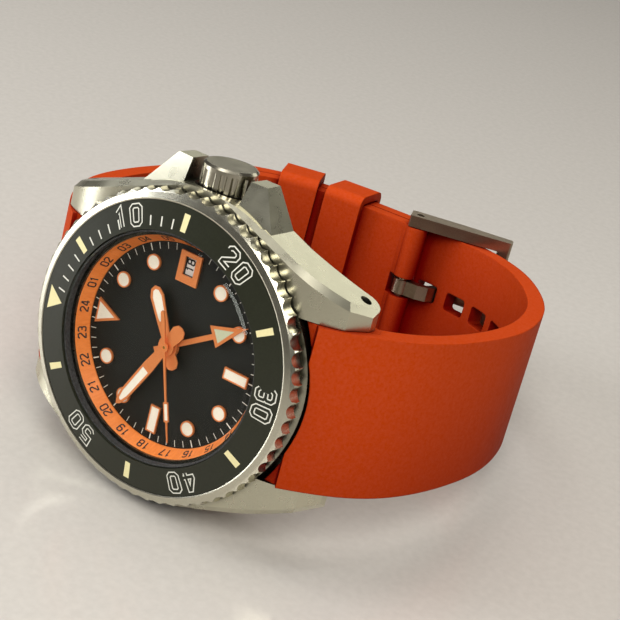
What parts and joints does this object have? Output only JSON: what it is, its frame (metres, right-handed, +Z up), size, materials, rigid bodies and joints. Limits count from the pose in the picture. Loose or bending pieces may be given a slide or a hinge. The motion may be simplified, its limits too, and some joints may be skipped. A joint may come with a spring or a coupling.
{
  "type": "dive watch",
  "caption": "Closed wristwatch with turning dive bezel, 24-hour hand, date, guarded crown and rubber strap with pin buckle, lying on its side.",
  "frame": {"origin": "centre of the bounding box, at the surface the watch rests on", "axes": "+Z up in the resting pose, crown uppermost; the dial faces -Y and leans back about 8.9 degrees; 12 o'clock points to -X"},
  "size_m": [0.0692, 0.0742, 0.0456],
  "materials": {
    "case_steel": "brushed top, polished bevels",
    "bezel_steel": "fine brushed, polished teeth",
    "insert_black": "matt anodised, olive black",
    "crystal": "clear sapphire",
    "gasket": "matt black",
    "spring_steel": "plain",
    "chapter_orange": "satin orange",
    "dial_black": "matt black",
    "copper": "copper-coloured metallic",
    "lume": "cream luminous filling",
    "brass_gilt": "gilt",
    "movement_steel": "fine grained",
    "holder_plastic": "off white",
    "ruby": "polished synthetic ruby",
    "crown_steel": "fluted, polished rim",
    "strap_rubber": "matt orange rubber",
    "buckle_steel": "long-grain brushed",
    "date_white": "matt white"
  },
  "bodies": {
    "case": {"case_body": "case_steel", "caseback": "case_steel", "caseback_gasket": "gasket", "crystal": "crystal", "crystal_gasket": "gasket", "bezel_click_spring": "spring_steel", "bezel_gasket": "gasket", "chapter_ring": "chapter_orange", "dial": "dial_black", "date_window_frame": "copper", "hour_markers": "copper", "hour_marker_fill": "lume", "main_plate": "movement_steel", "movement_holder": "holder_plastic", "jewels": "ruby", "pallet_bridge": "movement_steel", "barrel_bridge": "movement_steel", "train_bridge": "movement_steel", "balance_cock": "movement_steel", "bridge_screws": "movement_steel", "rotor_bearing": "movement_steel", "crown_tube": "crown_steel", "lug_spring_bars": "spring_steel", "strap_buckle_half": "strap_rubber", "strap_tail_half": "strap_rubber", "fixed_keeper": "strap_rubber", "hairspring": "spring_steel"},
    "bezel": {"bezel_ring": "bezel_steel", "bezel_insert": "insert_black"},
    "seconds": {"fourth_wheel": "brass_gilt", "seconds_hand": "copper"},
    "minutes": {"centre_wheel": "brass_gilt", "cannon_pinion": "movement_steel", "minute_hand": "copper"},
    "third": {"third_wheel": "brass_gilt"},
    "minute_works": {"minute_wheel": "brass_gilt"},
    "hours": {"hour_wheel": "brass_gilt", "hour_hand": "copper"},
    "gmt_intermediate": {"gmt_intermediate_wheel": "brass_gilt"},
    "gmt": {"gmt_wheel": "brass_gilt", "gmt_hand": "copper"},
    "date_drive": {"date_driving_wheel": "brass_gilt"},
    "date": {"date_ring": "date_white"},
    "barrel": {"barrel_drum": "brass_gilt", "mainspring": "spring_steel"},
    "escape": {"escape_wheel": "movement_steel"},
    "fork": {"pallet_fork": "movement_steel"},
    "balance": {"balance_wheel": "brass_gilt"},
    "winding": {"winding_pinion": "movement_steel"},
    "crown": {"crown": "crown_steel", "crown_gasket": "gasket", "winding_stem": "movement_steel"},
    "crown_gear": {"crown_wheel": "movement_steel"},
    "ratchet": {"ratchet_wheel": "movement_steel"},
    "rotor": {"rotor": "movement_steel"},
    "buckle": {"buckle_frame": "buckle_steel", "buckle_bar": "buckle_steel"},
    "tongue": {"buckle_tongue": "buckle_steel"},
    "keeper": {"free_keeper": "strap_rubber"}
  },
  "joints": [
    {"name": "bezel_turn", "type": "hinge", "parent": "case", "child": "bezel", "pos_m": [0.00106, -0.02774, 0.02132], "axis": [0, -0.9879, 0.1549], "continuous": true},
    {"name": "seconds_spin", "type": "hinge", "parent": "case", "child": "seconds", "pos_m": [0.00106, -0.02774, 0.02132], "axis": [0, -0.9879, 0.1549], "continuous": true},
    {"name": "minutes_spin", "type": "hinge", "parent": "case", "child": "minutes", "pos_m": [0.00106, -0.02774, 0.02132], "axis": [0, -0.9879, 0.1549], "continuous": true},
    {"name": "third_spin", "type": "hinge", "parent": "case", "child": "third", "pos_m": [0.00214, -0.02856, 0.01609], "axis": [0, -0.9879, 0.1549], "continuous": true},
    {"name": "minute_wheel_spin", "type": "hinge", "parent": "case", "child": "minute_works", "pos_m": [0.00277, -0.02725, 0.02444], "axis": [0, -0.9879, 0.1549], "continuous": true},
    {"name": "hours_spin", "type": "hinge", "parent": "case", "child": "hours", "pos_m": [0.00106, -0.02774, 0.02132], "axis": [0, -0.9879, 0.1549], "continuous": true},
    {"name": "gmt_intermediate_spin", "type": "hinge", "parent": "case", "child": "gmt_intermediate", "pos_m": [-0.00306, -0.02787, 0.02048], "axis": [0, -0.9879, 0.1549], "continuous": true},
    {"name": "gmt_spin", "type": "hinge", "parent": "case", "child": "gmt", "pos_m": [0.00106, -0.02774, 0.02132], "axis": [0, -0.9879, 0.1549], "continuous": true},
    {"name": "date_drive_spin", "type": "hinge", "parent": "case", "child": "date_drive", "pos_m": [0.00563, -0.02841, 0.01704], "axis": [0, -0.9879, 0.1549], "continuous": true},
    {"name": "date_spin", "type": "hinge", "parent": "case", "child": "date", "pos_m": [0.00106, -0.02774, 0.02132], "axis": [0, -0.9879, 0.1549], "continuous": true},
    {"name": "barrel_spin", "type": "hinge", "parent": "case", "child": "barrel", "pos_m": [-0.00421, -0.02709, 0.02544], "axis": [0, -0.9879, 0.1549], "continuous": true},
    {"name": "escape_spin", "type": "hinge", "parent": "case", "child": "escape", "pos_m": [0.00599, -0.02799, 0.01969], "axis": [0, -0.9879, 0.1549], "continuous": true},
    {"name": "fork_rock", "type": "hinge", "parent": "case", "child": "fork", "pos_m": [0.00717, -0.02757, 0.02239], "axis": [0, -0.9879, 0.1549], "range_deg": [-4, 4]},
    {"name": "balance_swing", "type": "hinge", "parent": "case", "child": "balance", "pos_m": [0.00873, -0.02701, 0.02597], "axis": [0, -0.9879, 0.1549], "range_deg": [-135, 135]},
    {"name": "crown_spin", "type": "hinge", "parent": "case", "child": "winding", "pos_m": [0.00051, -0.02375, 0.04093], "axis": [-0.0273, 0.1549, 0.9876], "continuous": true},
    {"name": "crown_pull", "type": "slide", "parent": "winding", "child": "crown", "axis": [-0.0273, 0.1549, 0.9876], "range_m": [0, 0.0016]},
    {"name": "crown_wheel_spin", "type": "hinge", "parent": "case", "child": "crown_gear", "pos_m": [0.00083, -0.02644, 0.0296], "axis": [0, -0.9879, 0.1549], "continuous": true},
    {"name": "ratchet_spin", "type": "hinge", "parent": "case", "child": "ratchet", "pos_m": [-0.00421, -0.02709, 0.02544], "axis": [0, -0.9879, 0.1549], "continuous": true},
    {"name": "rotor_spin", "type": "hinge", "parent": "case", "child": "rotor", "pos_m": [0.00106, -0.02774, 0.02132], "axis": [0, -0.9879, 0.1549], "continuous": true},
    {"name": "buckle_hinge", "type": "hinge", "parent": "case", "child": "buckle", "pos_m": [0.00146, 0.02867, 0.01248], "axis": [-0.0273, 0.1549, 0.9876], "range_deg": [-1.5, 3]},
    {"name": "tongue_hinge", "type": "hinge", "parent": "buckle", "child": "tongue", "pos_m": [0.00146, 0.02867, 0.01248], "axis": [-0.0273, 0.1549, 0.9876], "range_deg": [0, 8]},
    {"name": "keeper_slide", "type": "slide", "parent": "case", "child": "keeper", "axis": [0.9887, 0.1498, 0.0039], "range_m": [-0.0008, 0.0008]}
  ],
  "couplings": [
    {"joint": "minutes_spin", "follows": "seconds_spin", "ratio": 0.016667},
    {"joint": "third_spin", "follows": "seconds_spin", "ratio": -0.13333},
    {"joint": "minute_wheel_spin", "follows": "seconds_spin", "ratio": -0.0055556},
    {"joint": "hours_spin", "follows": "seconds_spin", "ratio": 0.0013889},
    {"joint": "gmt_intermediate_spin", "follows": "seconds_spin", "ratio": -0.0013889},
    {"joint": "gmt_spin", "follows": "seconds_spin", "ratio": 0.00069444},
    {"joint": "date_drive_spin", "follows": "seconds_spin", "ratio": -0.00069444},
    {"joint": "barrel_spin", "follows": "seconds_spin", "ratio": -0.002381},
    {"joint": "escape_spin", "follows": "seconds_spin", "ratio": -12},
    {"joint": "crown_wheel_spin", "follows": "crown_spin", "ratio": 0.5},
    {"joint": "ratchet_spin", "follows": "crown_spin", "ratio": -0.2069}
  ]
}
